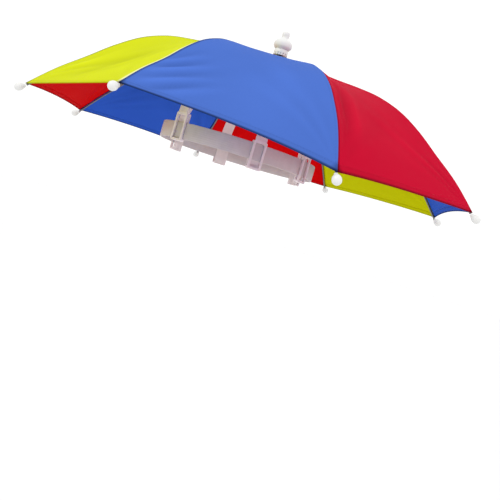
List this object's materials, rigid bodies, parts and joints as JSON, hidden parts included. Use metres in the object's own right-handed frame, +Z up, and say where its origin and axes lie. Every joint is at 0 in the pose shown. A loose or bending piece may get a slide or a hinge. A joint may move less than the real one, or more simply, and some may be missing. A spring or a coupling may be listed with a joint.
{
  "type": "umbrella hat",
  "caption": "Umbrella worn as a hat: a cloth canopy on wire ribs, held over the head by strap arms and an oval headband with buckles.",
  "frame": {"origin": "on the shaft's axis, at half the height of the headband, where the head holds the hat", "axes": "+Z up along the shaft, -Y the way the wearer faces, +X to the wearer's left"},
  "size_m": [0.4968, 0.5025, 0.1693],
  "materials": {
    "cloth_yellow": "woven, slightly glossy nylon",
    "cloth_blue": "woven, slightly glossy nylon",
    "cloth_red": "woven, slightly glossy nylon",
    "plastic": "moulded, slightly glossy white",
    "steel": "dark drawn wire",
    "strap": "cloudy, translucent soft plastic"
  },
  "bodies": {
    "root": {"panel_front": "cloth_yellow", "panel_front_left": "cloth_blue", "panel_left": "cloth_red", "panel_back_left": "cloth_blue", "panel_back": "cloth_yellow", "panel_back_right": "cloth_red", "panel_right": "cloth_blue", "panel_front_right": "cloth_red", "rib_1": "steel", "cap_1": "plastic", "stretcher_1": "steel", "rib_2": "steel", "cap_2": "plastic", "stretcher_2": "steel", "rib_3": "steel", "cap_3": "plastic", "stretcher_3": "steel", "rib_4": "steel", "cap_4": "plastic", "stretcher_4": "steel", "rib_5": "steel", "cap_5": "plastic", "stretcher_5": "steel", "rib_6": "steel", "cap_6": "plastic", "stretcher_6": "steel", "rib_7": "steel", "cap_7": "plastic", "stretcher_7": "steel", "rib_8": "steel", "cap_8": "plastic", "stretcher_8": "steel", "finial": "plastic", "notch": "plastic", "shaft": "steel", "runner": "plastic", "hub": "plastic", "arm_front": "strap", "arm_front_left": "strap", "arm_back_left": "strap", "arm_back": "strap", "arm_back_right": "strap", "arm_front_right": "strap", "headband": "strap"}
  },
  "joints": []
}
